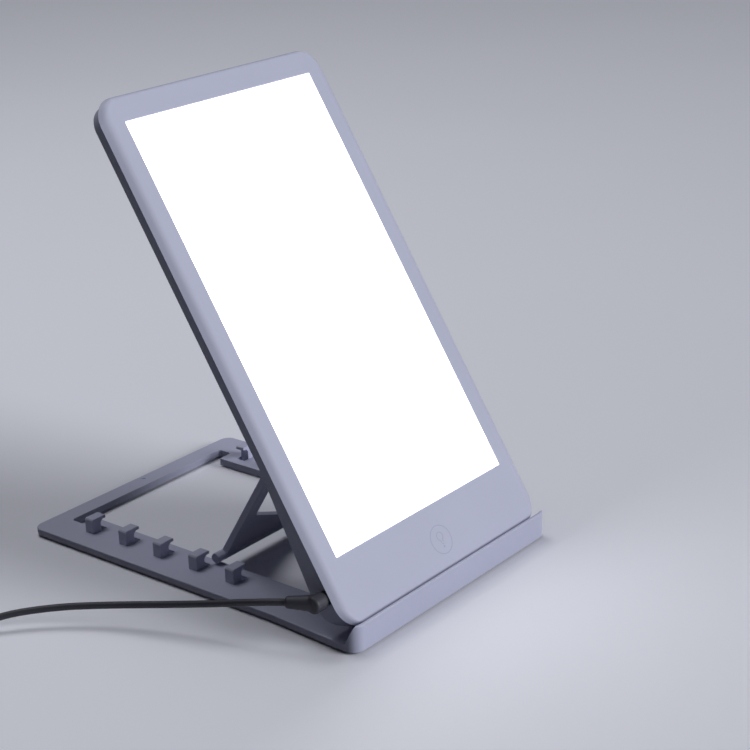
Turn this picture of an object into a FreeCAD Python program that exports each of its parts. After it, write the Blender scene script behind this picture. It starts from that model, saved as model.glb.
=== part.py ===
import FreeCAD, Part
import math
import os

# Light therapy lamp: an edge-lit panel that leans back on a flat base with a front lip. The panel tilts
# on two pins behind the lip, and a kickstand hinged on its back drops between two rows of stop hooks.
# Millimetres. X runs along the front, Y to the rear, Z up. The origin is on the surface that the lamp
# stands on, under the middle of the base.

# Base
base_depth = 225.0
base_plate = 4.0
base_corner = 6.0
foot_drop = 0.8            # rubber feet stand this far below the plate
foot_radius = 5.0
foot_socket = 1.0
foot_inset_x = 13.0
foot_inset_y = 14.0
rail_width = 27.2          # beside the opening
opening_front = 38.0       # from the front face
rear_rail = 11.0           # behind the opening
pocket_length = 9.0        # of the opening's wider rear end
pocket_rail = 18.0         # beside that end
opening_corner = 2.0
gate_offset = 2.4          # of the dimple on the rear rail, from the middle
gate_inset = 4.0           # and from the rear face
gate_radius = 1.5
gate_depth = 0.4

# Front lip
lip_width = 156.0
lip_overhang = 2.5         # of the lip past each side of the base
lip_height = 10.0          # above the plate
lip_thickness = 1.8
lip_corner = 6.0
lip_flare_start = 14.0
lip_flare_end = 55.0
lip_round = 0.6
plate_round = 0.6
under_round = 0.8
lip_ramp = 5.0             # length of the slope at each end of the lip

# Stop racks: strips in grooves under the rails, with hooks that stand up through slots
hook_count = 5
hook_rear = 34.0           # front of the last hook, from the rear face
hook_pitch = 25.25
hook_length = 5.8
hook_height = 7.9
hook_inset = 12.3          # from the side of the base
hook_post = 6.0
hook_reach = 9.6
hook_tip = 0.4
hook_chamfer = (0.6, 0.8)  # at the end of the arm, and on the outer edge
hook_arm = 1.9
hook_gusset = 1.4
rack_strip = 1.6
rack_margin = 3.0
rack_fit = 0.1

# Panel
bezel_side = 13.0
screen_height = 224.0
bezel_top = 13.5
bezel_bottom = 33.0
panel_corner = 13.0
panel_thickness = 9.0
bezel_depth = 3.0          # front face to the seam with the rear shell
bezel_face = 1.6
bezel_wall = 1.5
bezel_round = 2.6
window_bevel = 0.4
shell_inset = 1.5
shell_wall = 1.5
housing_thickness = 14.6   # lower housing, over the electronics
housing_top = 20.0         # where its wedge starts, above the pivot
wedge_length = 60.0
heel_top = 9.6             # the slope under the housing: its upper edge, its corners and its lower edge
heel = [(-2.2, 4.6), (3.0, 2.0)]
heel_end = 8.0
recline = 58.6             # lean of the panel at rest, from level

# Tilt hinge
pivot_from_front = 18.4
pivot_height = 3.5         # above the base plate
pivot_depth = 15.1         # behind the front of the panel
pivot_rise = 4.9           # above the bottom end of the panel
knuckle_radius = 2.8
pin_radius = 1.25
pin_clearance = 0.05
ear_offset = 6.0           # middle of each ear, outside the kickstand
ear_web = [(7.0, 1.6), (2.0, 4.4), (-2.4, 5.2)]
ear_width = 7.0
lug_width = 5.0
washer_thickness = 0.5
hinge_gap = 0.3

# Kickstand
leg_hinge_reach = 94.9     # up the panel from its lower end
leg_hinge_offset = 2.9     # behind the back of the panel
leg_length = 92.8          # hinge to the middle of the foot bar
leg_ratio = -1.944         # turn of the leg for each degree of the panel
leg_fold_angle = -2.25     # leg to the base when the panel lies flat
leg_side_gap = 1.3         # to the sides of the base opening
leg_plate = 3.4
leg_recess = 1.0
leg_border = 5.0
leg_barrel_radius = 2.5
leg_window_border = 8.5
leg_window_top = 20.0
leg_window_side = 64.5
leg_window_bottom = 77.5
leg_window_floor = 14.0
leg_window_corner = 3.0
recess_corner = 2.0
recess_lap = 3.0           # of the recess past the side edges of the window
recess_margin = 1.5        # to the foot bar
foot_bar_radius = 2.5
foot_bar_round = 2.0
foot_bar_gap = 1.0         # to the ends of the hook arms
leg_ear_width = 3.5
leg_ear_foot = 5.0         # half the length of each ear where it meets the panel
leg_pin_length = 11.0

# Light engine, from the back wall to the front
reflector_thickness = 0.4
guide_thickness = 3.0
diffuser_thickness = 2.0
screen_sink = 0.2          # of the diffuser's raised middle below the bezel
screen_fit = 0.1
gasket_thickness = 0.5
gasket_setback = 1.0
guide_margin = 3.5
led_height = 1.0
led_length = 3.5
led_width = 2.0
led_board = 1.0
led_pitch = 8.0
led_carrier = 1.2
carrier_foot = 6.0
carrier_gap = 0.4          # to the reflector
light_wall = 1.2
wall_sink = 0.5
rib_first = 8.0
rib_pitch = 13.0
rib_count = 4

# Electronics
board_thickness = 1.6
board_standoff = 1.6
board_gap = 1.0            # to the sides of the housing
board_post_inset = 22.0
board_post_radius = 2.5
lead_size = 1.2
lead_inset = 2.0
lead_fit = 0.2
driver_low = 7.0
driver_high = 21.0
capacitor_place = 46.0     # from the middle of the lamp, to the left
capacitor_length = 12.0
capacitor_radius = 3.0
choke_place = 28.0         # to the left
choke_radius = 4.5
choke_height = 4.5
chip_place = 11.0          # to the left
chip_size = 6.0
chip_height = 1.6
socket_place = 46.0        # to the right
socket_length = 12.0
socket_width = 8.0
socket_height = 5.0
resistor_count = 6
resistor_first = 12.0      # to the right
resistor_pitch = 4.0
resistor_size = (2.0, 3.5, 1.0)
header_place = 3.0         # to the left
header_length = 8.0
header_width = 2.5
touch_board_width = 36.0
touch_board_height = 20.0
touch_board_thickness = 1.2
touch_rise = 10.3          # middle of the touch mark, above the tilt pivot
jack_rise = 13.9
jack_depth = 6.8           # axis, behind the front of the panel
jack_bore = 2.82
jack_hole = 3.7
jack_length = 12.0
jack_half = 4.4
jack_over = 3.4            # of the jack in front of its axis
jack_pin = 1.0
jack_floor = 2.0
screw_head = 2.0
screw_head_height = 1.5
screw_shank = 1.0
screw_tower = 2.8
screw_sink = 0.6           # of the head below the back
screw_low_inset = (12.0, 8.5)   # from the side and the lower end of the panel
screw_high_inset = (28.0, 5.9)  # from the side and the upper end
screw_low_back = 1.9       # of the sloping back there
bezel_boss = 2.5           # height of the boss that each screw bites into

# Power plug and cord
plug_barrel_radius = 2.75
plug_barrel_bore = 1.3
plug_barrel_length = 9.4
plug_shoulder = 3.4
plug_head_radius = 4.6
plug_head_width = 8.2
plug_head_round = 1.0
plug_clear = 0.4           # between the plug and the side of the lamp
tail_end_radius = 2.8
tail_step = 0.4            # from the head down to the tail
cord_diameter = 3.5
cord_cut = -90.5           # plane across X where the plug's tail ends and the cord starts
coil_turn_radius = 20.0
coil_width = 10.5
coil_height = 14.0
coil_centre = (-174.0, 81.0)
tie_width = 6.0
tie_thickness = 0.8        # the coil lies on its tie
adapter_length = 48.0
adapter_width = 34.0
adapter_height = 26.0
adapter_round = 4.0
adapter_offset = 10.0      # of the cord from the adapter's side
adapter_wall = 2.0
adapter_front = 121.0
adapter_edge = 1.5
adapter_cover_depth = 8.0
prong_from_front = 29.8
prong_root = 6.0
prong_eye = 1.6
prong_eye_inset = 4.0
core_size = (18.0, 18.0, 13.0)
core_inset = 16.0
can_radius = 4.0
can_height = 12.0
can_place = (8.0, 9.0)
prong_gap = 12.7
prong_width = 6.3
prong_thickness = 1.5
prong_length = 16.0
relief_length = 12.0
relief_rise = 9.0
relief_radius = 3.4
relief_step = 0.5

# Control points of the cord from the plug to the coil
cord_route = [
    (-90.5, -81.5, 24.8), (-97.0, -66.9, 23.2), (-103.5, -46.0, 18.8), (-110.5, -22.5, 14.4),
    (-121.6, 2.9, 11.3), (-135.5, 25.0, 9.7), (-155.0, 43.7, 9.0), (-170.0, 52.4, 5.4), (-186.5, 62.5, 2.7),
]

# Places worked out from the sizes
front_face = -base_depth / 2
base_width = lip_width - 2 * lip_overhang
opening_half = base_width / 2 - rail_width
pocket_half = base_width / 2 - pocket_rail
pocket_rear = base_depth - rear_rail
pocket_front = pocket_rear - pocket_length
hook_outer = base_width / 2 - hook_inset
hook_arm_end = hook_outer - hook_reach
screen_width = lip_width - 2 * bezel_side
base_top = foot_drop + base_plate
lip_top = base_top + lip_height
pivot_y = front_face + pivot_from_front
pivot_z = base_top + pivot_height
screen_low = bezel_bottom - pivot_rise
screen_high = screen_low + screen_height
panel_low = -pivot_rise
panel_high = screen_high + bezel_top
panel_half = screen_width / 2 + bezel_side
panel_back = pivot_depth - panel_thickness
housing_back = pivot_depth - housing_thickness
seam = pivot_depth - bezel_depth
shell_half = panel_half - shell_inset
wall_back = panel_back + shell_wall
guide_back = wall_back + reflector_thickness
diffuser_back = guide_back + guide_thickness
gasket_back = diffuser_back + diffuser_thickness
face_back = pivot_depth - bezel_face
guide_half = screen_width / 2 + guide_margin
led_base = guide_half + led_height
carrier_inner = led_base + led_board
carrier_outer = carrier_inner + led_carrier
guide_low = screen_low - guide_margin
guide_high = screen_high + guide_margin
leg_half = opening_half - leg_side_gap
leg_window_half = leg_half - leg_window_border
leg_hinge_rise = leg_hinge_reach - pivot_rise
leg_hinge_depth = panel_back - leg_hinge_offset
reflector_half = guide_half - carrier_foot - carrier_gap
leg_angle = leg_fold_angle + recline * (1 + leg_ratio)
foot_bar_half = hook_arm_end - foot_bar_gap
jack_axis = pivot_depth - jack_depth
driver_half = shell_half - shell_wall - board_gap
driver_middle = (driver_low + driver_high) / 2
board_back = housing_back + shell_wall + board_standoff
board_front = board_back + board_thickness
ear_middle = leg_half + ear_offset
lug_inner = ear_middle - ear_width / 2 - hinge_gap - washer_thickness - lug_width
lug_outer = ear_middle + ear_width / 2 + hinge_gap + washer_thickness

along_x = FreeCAD.Vector(1, 0, 0)
up = FreeCAD.Vector(0, 0, 1)


def box(x0, x1, y0, y1, z0, z1):
    return Part.makeBox(x1 - x0, y1 - y0, z1 - z0, FreeCAD.Vector(x0, y0, z0))


def rod(x0, x1, y, z, radius):
    return Part.makeCylinder(radius, x1 - x0, FreeCAD.Vector(x0, y, z), along_x)


def post(x, y, z0, z1, radius):
    return Part.makeCylinder(radius, z1 - z0, FreeCAD.Vector(x, y, z0), up)


def upright(points, z0, z1):
    """A prism whose outline, in X and Y, is drawn on the level z0."""
    corners = [FreeCAD.Vector(x, y, z0) for x, y in points]
    face = Part.Face(Part.makePolygon(corners + corners[:1]))
    return face.extrude(FreeCAD.Vector(0, 0, z1 - z0))


def lengthwise(points, x0, x1):
    """A prism along X whose outline is in Y and Z."""
    corners = [FreeCAD.Vector(x0, y, z) for y, z in points]
    face = Part.Face(Part.makePolygon(corners + corners[:1]))
    return face.extrude(FreeCAD.Vector(x1 - x0, 0, 0))


def crosswise(points, y0, y1):
    """A prism along Y whose outline is in X and Z."""
    corners = [FreeCAD.Vector(x, y0, z) for x, z in points]
    face = Part.Face(Part.makePolygon(corners + corners[:1]))
    return face.extrude(FreeCAD.Vector(0, y1 - y0, 0))


def vertical_edges(shape, wanted):
    """The edges along Z whose place in X and Y passes the test."""
    found = []
    for edge in shape.Edges:
        ends = [vertex.Point for vertex in edge.Vertexes]
        if len(ends) == 2 and abs(ends[0].x - ends[1].x) < 1e-6 and abs(ends[0].y - ends[1].y) < 1e-6:
            if abs(ends[0].z - ends[1].z) > 1e-6 and wanted(ends[0].x, ends[0].y):
                found.append(edge)
    return found


def rounded(shape, radius, wanted=lambda x, y: True):
    return shape.makeFillet(radius, vertical_edges(shape, wanted))


def plate(x0, x1, y0, y1, z0, z1, radius):
    return rounded(box(x0, x1, y0, y1, z0, z1), radius)


def edges_at(shape, z):
    """The edges that lie wholly on the level z."""
    return [edge for edge in shape.Edges if all(abs(v.Point.z - z) < 1e-6 for v in edge.Vertexes)
            and abs(edge.BoundBox.ZLength) < 1e-6]


def inset(points, wall):
    """The same convex outline, drawn anticlockwise, with every side moved inwards."""
    sides = []
    for (ax, ay), (bx, by) in zip(points, points[1:] + points[:1]):
        length = math.hypot(bx - ax, by - ay)
        nx, ny = -(by - ay) / length, (bx - ax) / length
        sides.append((nx, ny, nx * ax + ny * ay + wall))
    result = []
    for (ax, ay, ad), (bx, by, bd) in zip(sides[-1:] + sides[:-1], sides):
        cross = ax * by - ay * bx
        result.append(((ad * by - bd * ay) / cross, (ax * bd - bx * ad) / cross))
    return result


def mirrored(shape):
    return shape.mirror(FreeCAD.Vector(), along_x)


def both_sides(shape):
    return [shape, mirrored(shape)]


def on_panel(shape):
    """Turns a piece drawn on a level panel, with the tilt pivot at its origin, into its place."""
    placed = shape.copy()
    placed.rotate(FreeCAD.Vector(), along_x, recline)
    placed.translate(FreeCAD.Vector(0, pivot_y, pivot_z))
    return placed


def on_leg(shape):
    """Places a piece drawn on a level leg, with the leg hinge at its origin."""
    placed = shape.copy()
    placed.rotate(FreeCAD.Vector(), along_x, leg_angle)
    lean = math.radians(recline)
    rise = leg_hinge_rise * math.sin(lean) + leg_hinge_depth * math.cos(lean)
    back = leg_hinge_rise * math.cos(lean) - leg_hinge_depth * math.sin(lean)
    placed.translate(FreeCAD.Vector(0, pivot_y + back, pivot_z + rise))
    return placed


def save(name, shapes):
    parts = shapes if isinstance(shapes, list) else [shapes]
    solids = [solid for shape in parts for solid in shape.Solids]
    whole = solids[0] if len(solids) == 1 else Part.makeCompound(solids)
    for solid in solids:
        if not solid.isValid() or solid.Volume <= 0:
            print("bad solid in", name)
    whole.exportStep("parts/" + name + ".step")
    print(name, len(solids), round(sum(solid.Volume for solid in solids), 1))


# --- base ---

def base_outline(shrink):
    half = base_width / 2 - shrink
    lip_half = lip_width / 2 - shrink
    return [
        (-lip_half, front_face + shrink), (lip_half, front_face + shrink),
        (lip_half, front_face + lip_flare_start), (half, front_face + lip_flare_end),
        (half, -front_face - shrink), (-half, -front_face - shrink),
        (-half, front_face + lip_flare_end), (-lip_half, front_face + lip_flare_start),
    ]


def hook_fronts():
    last = -front_face - hook_rear
    return [last - hook_pitch * (hook_count - 1 - number) for number in range(hook_count)]


def rack_slots():
    """Groove for one strip under the left rail, and a slot for each of its hooks."""
    slots = box(-hook_outer - rack_margin - rack_fit, -hook_arm_end + rack_fit,
                hook_fronts()[0] - rack_margin - rack_fit,
                hook_fronts()[-1] + hook_length + rack_margin + rack_fit, 0, foot_drop + rack_strip)
    for front in hook_fronts():
        slots = slots.fuse(box(-hook_outer - rack_fit, -hook_arm_end + rack_fit, front - rack_fit,
                               front + hook_length + rack_fit, 0, base_top + 1))
    return slots


def tilt_lugs():
    """The two lugs of the left tilt hinge, round at the pivot and flat on the plate."""
    lugs = []
    for start in (lug_inner, lug_outer):
        foot = box(-start - lug_width, -start, pivot_y - knuckle_radius, pivot_y + knuckle_radius,
                   base_top - 0.5, pivot_z)
        lugs.append(foot.fuse(rod(-start - lug_width, -start, pivot_y, pivot_z, knuckle_radius)))
    return lugs


def base_solid(shrink, z0, z1):
    """The base outline with its front corners rounded."""
    return rounded(upright(base_outline(shrink), z0, z1), lip_corner - shrink,
                   lambda x, y: y < front_face + shrink + 1)


def base_plate_solid():
    solid = rounded(base_solid(0, foot_drop, base_top), base_corner, lambda x, y: y > -front_face - 1)
    solid = solid.makeFillet(plate_round, edges_at(solid, base_top))
    return solid.makeFillet(under_round, edges_at(solid, foot_drop))


def front_lip():
    """The wall along the front, which slopes down to the plate at both ends."""
    wall_back = front_face + lip_thickness
    ramp_end = wall_back + lip_ramp
    inner = base_solid(lip_thickness, base_top, lip_top + 1)
    lip = base_solid(0, foot_drop + under_round, lip_top).cut(inner)
    lip = lip.cut(lengthwise([(wall_back, lip_top), (ramp_end, base_top), (base_depth, base_top),
                              (base_depth, lip_top + 1), (wall_back, lip_top + 1)], -lip_width, lip_width))
    lip = lip.common(box(-lip_width, lip_width, front_face - 1, ramp_end, foot_drop, lip_top))
    rim = [edge for edge in edges_at(lip, lip_top) if edge.BoundBox.XLength > lip_width / 2]
    return lip.makeFillet(lip_round, rim)


def base_frame():
    frame = base_plate_solid().fuse(front_lip())
    frame = frame.cut(plate(-opening_half, opening_half, front_face + opening_front,
                            front_face + pocket_rear, 0, lip_top, opening_corner))
    frame = frame.cut(plate(-pocket_half, pocket_half, front_face + pocket_front,
                            front_face + pocket_rear, 0, lip_top, opening_corner))
    for side in both_sides(rack_slots()):
        frame = frame.cut(side)
    for lug in tilt_lugs():
        for side in both_sides(lug):
            frame = frame.fuse(side)
    for side in (-1, 1):
        x = side * ear_middle
        reach = lug_outer + lug_width - ear_middle
        pin_hole = rod(x - reach, x + reach, pivot_y, pivot_z, pin_radius)
        frame = frame.cut(pin_hole)
    for x, y in foot_places():
        frame = frame.cut(post(x, y, 0, foot_drop + foot_socket, foot_radius))
    gate_y = -front_face - gate_inset
    frame = frame.cut(post(gate_offset, gate_y, base_top - gate_depth, lip_top, gate_radius))
    return frame.removeSplitter()


def foot_places():
    x = base_width / 2 - foot_inset_x
    y = base_depth / 2 - foot_inset_y
    return [(-x, -y), (x, -y), (-x, y), (x, y)]


def base_feet():
    feet = []
    for x, y in foot_places():
        foot = post(x, y, 0, foot_drop + foot_socket, foot_radius)
        feet.append(foot.makeChamfer(0.3, edges_at(foot, 0)))
    return feet


def stop_rack():
    """The left rack: a strip flush with the underside, and its hooks with their arms turned inwards."""
    strip = box(-hook_outer - rack_margin, -hook_arm_end, hook_fronts()[0] - rack_margin,
                hook_fronts()[-1] + hook_length + rack_margin, foot_drop, foot_drop + rack_strip)
    top = base_top + hook_height
    arm_under = top - hook_arm
    post_inner = hook_outer - hook_post
    outline = [
        (-hook_outer, foot_drop), (-post_inner, foot_drop), (-post_inner, arm_under - hook_gusset),
        (-post_inner + hook_gusset, arm_under), (-hook_arm_end, arm_under),
        (-hook_arm_end, top - hook_tip), (-hook_arm_end - hook_chamfer[0], top),
        (-hook_outer + hook_chamfer[1], top), (-hook_outer, top - hook_chamfer[1]),
    ]
    rack = strip
    for front in hook_fronts():
        rack = rack.fuse(crosswise(outline, front, front + hook_length))
    return rack.removeSplitter()


def tilt_pins():
    pins = []
    for side in (-1, 1):
        low = side * ear_middle - (lug_outer - ear_middle + lug_width)
        high = side * ear_middle + (lug_outer - ear_middle + lug_width)
        shaft = rod(low, high, pivot_y, pivot_z, pin_radius)
        outside = (low - 0.8, low) if side < 0 else (high, high + 0.8)
        head = rod(outside[0], outside[1], pivot_y, pivot_z, pin_radius + 0.8)
        pins.append(shaft.fuse(head).removeSplitter())
    return pins


def friction_washers():
    """A washer on each side of each ear, seated against the lug."""
    washers = []
    for start in (lug_inner + lug_width, lug_outer - washer_thickness):
        ring = rod(-start - washer_thickness, -start, pivot_y, pivot_z, knuckle_radius - 0.2)
        ring = ring.cut(rod(-start - 2, -start + 2, pivot_y, pivot_z, pin_radius))
        washers += both_sides(ring)
    return washers


# --- panel ---

def panel_slab(shrink, z0, z1):
    return plate(-panel_half + shrink, panel_half - shrink, panel_low + shrink, panel_high - shrink,
                 z0, z1, panel_corner - shrink)


def front_bezel():
    slab = panel_slab(0, seam, pivot_depth)
    slab = slab.makeFillet(bezel_round, edges_at(slab, pivot_depth))
    slab = slab.cut(panel_slab(bezel_wall, seam - 1, face_back))
    half = screen_width / 2
    slab = slab.cut(box(-half, half, screen_low, screen_high, face_back - 1, pivot_depth + 1))
    bevel_low = box(-half - window_bevel, half + window_bevel, screen_low - window_bevel,
                    screen_high + window_bevel, pivot_depth, pivot_depth + window_bevel)
    wedge = Part.makeLoft([
        Part.makePolygon([FreeCAD.Vector(x, y, z) for x, y in (
            (-half - grow, screen_low - grow), (half + grow, screen_low - grow),
            (half + grow, screen_high + grow), (-half - grow, screen_high + grow),
            (-half - grow, screen_low - grow))])
        for grow, z in ((0, pivot_depth - window_bevel), (window_bevel, pivot_depth))], True, True)
    slab = slab.cut(wedge).cut(bevel_low)
    for x, y, back in screw_places():
        boss = post(x, y, face_back - bezel_boss, face_back + 0.5, screw_tower)
        slab = slab.fuse(boss.cut(post(x, y, face_back - bezel_boss, face_back, screw_shank)))
    return slab.removeSplitter()


def shell_outline():
    """Side view of the rear shell: the tray, the wedge and the deeper housing at the bottom end."""
    low = panel_low + shell_inset
    high = panel_high - shell_inset
    return [
        (low, heel_top), *heel, (heel_end, housing_back), (housing_top, housing_back),
        (housing_top + wedge_length, panel_back), (high, panel_back), (high, seam), (low, seam),
    ]


def rear_shell():
    high = panel_high - shell_inset
    outer = lengthwise(shell_outline(), -shell_half, shell_half)
    plan = plate(-shell_half, shell_half, panel_low + shell_inset, high, -1, seam + 1,
                 panel_corner - shell_inset)
    outer = outer.common(plan)
    hollow = lengthwise([(y, z + (5 if z > seam - shell_wall - 1e-6 else 0))
                         for y, z in inset(shell_outline(), shell_wall)],
                        -shell_half + shell_wall, shell_half - shell_wall)
    plan = plate(-shell_half + shell_wall, shell_half - shell_wall, panel_low + shell_inset + shell_wall,
                 high - shell_wall, -1, seam + 9, panel_corner - shell_inset - shell_wall)
    shell = outer.cut(hollow.common(plan))
    for wall in light_walls():
        shell = shell.fuse(wall)
    for side in both_sides(lead_run(lead_fit)):
        shell = shell.cut(side)
    for x in board_posts():
        shell = shell.fuse(post(x, driver_middle, housing_back + wall_sink, board_back, board_post_radius))
    for x, y, back in screw_places():
        shell = shell.fuse(post(x, y, back + shell_wall - 0.1, face_back - bezel_boss, screw_tower))
    for ear in tilt_ears() + leg_ears():
        shell = shell.fuse(ear)
    shell = shell.cut(rod(-shell_half - 2, -shell_half + 3, jack_rise, jack_axis, jack_hole))
    for side in (-1, 1):
        x = side * ear_middle
        shell = shell.cut(rod(x - ear_width, x + ear_width, 0, 0, pin_radius + pin_clearance))
        leg_pin = leg_half + hinge_gap + leg_ear_width
        shell = shell.cut(rod(min(side * leg_half, side * leg_pin), max(side * leg_half, side * leg_pin),
                              leg_hinge_rise, leg_hinge_depth, pin_radius))
    for x, y, back in screw_places():
        shell = shell.cut(post(x, y, back - 3, back + screw_sink + screw_head_height, screw_head + 0.2))
        shell = shell.cut(post(x, y, back - 3, face_back, screw_shank))
    return shell.removeSplitter()


def light_walls():
    """Four walls that stand on the back of the tray and hold the light guide and its strips."""
    x = carrier_outer
    low = guide_low - light_wall
    high = guide_high + light_wall
    z0 = panel_back + wall_sink
    z1 = diffuser_back
    walls = [box(-x, x, high - light_wall, high, z0, z1)]
    deep = housing_back + wall_sink
    walls.append(box(-x, x, low, low + light_wall, deep, z1))
    for side in both_sides(box(-x - light_wall, -x, low, high, deep, z1)):
        walls.append(side)
    wedge_solid = lengthwise(shell_outline(), -shell_half, shell_half)
    floor = box(-x, x, low, housing_top + wedge_length + light_wall, z0, wall_back)
    walls.append(floor.common(wedge_solid))
    for rib in range(rib_count):
        at = low + rib_first + rib * rib_pitch
        walls.append(box(-x, x, at, at + light_wall, deep, z0 + wall_sink))
    return [wall.common(wedge_solid) for wall in walls]


def tilt_ears():
    ears = []
    for side in (-1, 1):
        x0 = side * ear_middle - ear_width / 2
        x1 = side * ear_middle + ear_width / 2
        web = lengthwise([(-knuckle_radius, 0), (knuckle_radius, 0), *ear_web], x0, x1)
        ears.append(web.fuse(rod(x0, x1, 0, 0, knuckle_radius)))
    return ears


def leg_ears():
    inner = leg_half + hinge_gap
    web = lengthwise([(leg_hinge_rise - leg_barrel_radius, leg_hinge_depth),
                      (leg_hinge_rise + leg_barrel_radius, leg_hinge_depth),
                      (leg_hinge_rise + leg_ear_foot, panel_back + wall_sink),
                      (leg_hinge_rise - leg_ear_foot, panel_back + wall_sink)],
                     -inner - leg_ear_width, -inner)
    ear = web.fuse(rod(-inner - leg_ear_width, -inner, leg_hinge_rise, leg_hinge_depth, leg_barrel_radius))
    return both_sides(ear)


def screw_places():
    """Middle of each screw and the level of the shell's back there."""
    low_x, low_y = panel_half - screw_low_inset[0], panel_low + screw_low_inset[1]
    high_x, high_y = panel_half - screw_high_inset[0], panel_high - screw_high_inset[1]
    return [(-low_x, low_y, screw_low_back), (low_x, low_y, screw_low_back),
            (-high_x, high_y, panel_back), (high_x, high_y, panel_back)]


def panel_screws():
    screws = []
    for x, y, back in screw_places():
        under = back + screw_sink
        seat = under + screw_head_height
        head = post(x, y, under, seat, screw_head)
        shank = post(x, y, seat, face_back - 0.3, screw_shank)
        slot = box(x - 1.2, x + 1.2, y - 0.25, y + 0.25, under - 1, under + 0.8)
        cross = box(x - 0.25, x + 0.25, y - 1.2, y + 1.2, under - 1, under + 0.8)
        screws.append(head.fuse(shank).cut(slot).cut(cross).removeSplitter())
    return screws


def board_posts():
    return board_post_inset - driver_half, 0, driver_half - board_post_inset


def flat_sheet(half, low, high, z0, z1):
    return box(-half, half, low, high, z0, z1)


def diffuser():
    """An opal sheet whose middle is raised to fill the window."""
    sheet = flat_sheet(carrier_outer, guide_low, guide_high, diffuser_back, gasket_back)
    middle = flat_sheet(screen_width / 2 - screen_fit, screen_low + screen_fit, screen_high - screen_fit,
                        diffuser_back, pivot_depth - screen_sink)
    return sheet.fuse(middle).removeSplitter()


def led_strips():
    """Circuit strips that stand on edge along both long sides of the light guide."""
    strip = box(-carrier_inner, -led_base, guide_low, guide_high, guide_back, diffuser_back)
    return both_sides(strip)


def lead_run(grow):
    """The left wire from the board, up and then along to the foot of its light strip."""
    x0 = -led_base - lead_size - grow
    x1 = -led_base + grow
    low = driver_high - lead_inset
    rise = box(x0, x1, low - grow, low + lead_size + grow, board_front, guide_back + lead_size)
    return rise.fuse(box(x0, x1, low - grow, guide_low, guide_back - grow, guide_back + lead_size + grow))


def strip_leads():
    return [lead.removeSplitter() for lead in both_sides(lead_run(0))]


def led_places():
    count = int((guide_high - guide_low - led_pitch) // led_pitch) + 1
    first = (guide_low + guide_high) / 2 - led_pitch * (count - 1) / 2
    return [first + led_pitch * number for number in range(count)]


def leds():
    chips = []
    middle = (guide_back + diffuser_back) / 2
    for y in led_places():
        chip = box(-led_base, -guide_half, y - led_length / 2, y + led_length / 2,
                   middle - led_width / 2, middle + led_width / 2)
        chips += both_sides(chip)
    return chips


def led_carriers():
    """Aluminium angles behind the strips, which carry their heat into the rear of the panel."""
    back = box(-carrier_outer, -carrier_inner, guide_low, guide_high, guide_back, diffuser_back)
    foot = box(-carrier_outer, carrier_foot - guide_half, guide_low, guide_high, wall_back, guide_back)
    return both_sides(back.fuse(foot).removeSplitter())


def dc_jack():
    x0 = -shell_half + shell_wall
    body = box(x0, x0 + jack_length, jack_rise - jack_half, jack_rise + jack_half, board_front,
               jack_axis + jack_over)
    x1 = x0 + jack_length - jack_floor
    body = body.cut(rod(x0 - 1, x1, jack_rise, jack_axis, jack_bore))
    pin = rod(x0 + jack_floor, x1 + jack_floor / 2, jack_rise, jack_axis, jack_pin)
    return body.fuse(pin).removeSplitter()


def driver_board():
    return box(-driver_half, driver_half, driver_low, driver_high, board_back, board_front)


def on_board(x, length, width, height):
    return box(x - length / 2, x + length / 2, driver_middle - width / 2, driver_middle + width / 2,
               board_front, board_front + height)


def driver_components():
    """Storage capacitor, choke, driver chip, LED connector and a row of small parts on the board."""
    parts = [rod(-capacitor_place - capacitor_length / 2, capacitor_length / 2 - capacitor_place,
                 driver_middle, board_front + capacitor_radius, capacitor_radius)]
    parts.append(post(-choke_place, driver_middle, board_front, board_front + choke_height, choke_radius))
    parts.append(on_board(-chip_place, chip_size, chip_size, chip_height))
    parts.append(on_board(socket_place, socket_length, socket_width, socket_height))
    for number in range(resistor_count):
        parts.append(on_board(resistor_first + resistor_pitch * number, *resistor_size))
    return parts


def touch_board():
    half = touch_board_width / 2
    low = touch_rise - touch_board_height / 2
    return box(-half, half, low, low + touch_board_height, face_back - touch_board_thickness, face_back)


def touch_header():
    """Pin header that joins the touch board to the driver board."""
    high = touch_rise + touch_board_height / 2
    x = -header_place
    return box(x - header_length / 2, x + header_length / 2, high - header_width, high, board_front,
               face_back - touch_board_thickness)


def leg_pins():
    inner = leg_half - leg_pin_length + leg_ear_width + hinge_gap
    outer = leg_half + hinge_gap + leg_ear_width
    return both_sides(rod(-outer, -inner, leg_hinge_rise, leg_hinge_depth, pin_radius))


# --- kickstand ---

def leg_frame():
    """Drawn level, with the hinge at the origin, the foot bar to the rear and the panel above."""
    half = leg_plate / 2
    body = box(-leg_half, leg_half, 0, leg_length, -half, half)
    body = body.fuse(rod(-leg_half, leg_half, 0, 0, leg_barrel_radius))
    bar = box(-foot_bar_half, foot_bar_half, leg_length - foot_bar_radius, leg_length + foot_bar_radius,
              -foot_bar_radius, foot_bar_radius)
    long_edges = [edge for edge in bar.Edges if edge.BoundBox.XLength > foot_bar_half]
    body = body.fuse(bar.makeFillet(foot_bar_round, long_edges))
    window = upright([
        (-leg_window_half, leg_window_top), (leg_window_half, leg_window_top),
        (leg_window_half, leg_window_side), (leg_window_floor, leg_window_bottom),
        (-leg_window_floor, leg_window_bottom), (-leg_window_half, leg_window_side)], -half - 1, half + 1)
    body = body.cut(rounded(window, leg_window_corner))
    web_low = leg_length - foot_bar_radius - recess_margin
    recess = box(-leg_half + leg_border, leg_half - leg_border, leg_window_side - recess_lap, web_low,
                 half - leg_recess, half + 1)
    body = body.cut(rounded(recess, recess_corner))
    for side in (-1, 1):
        deep = leg_half - leg_pin_length + leg_ear_width
        hole = rod(min(side * deep, side * (leg_half + 1)), max(side * deep, side * (leg_half + 1)),
                   0, 0, pin_radius + pin_clearance)
        body = body.cut(hole)
    return body.removeSplitter()


# --- power plug ---

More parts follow.
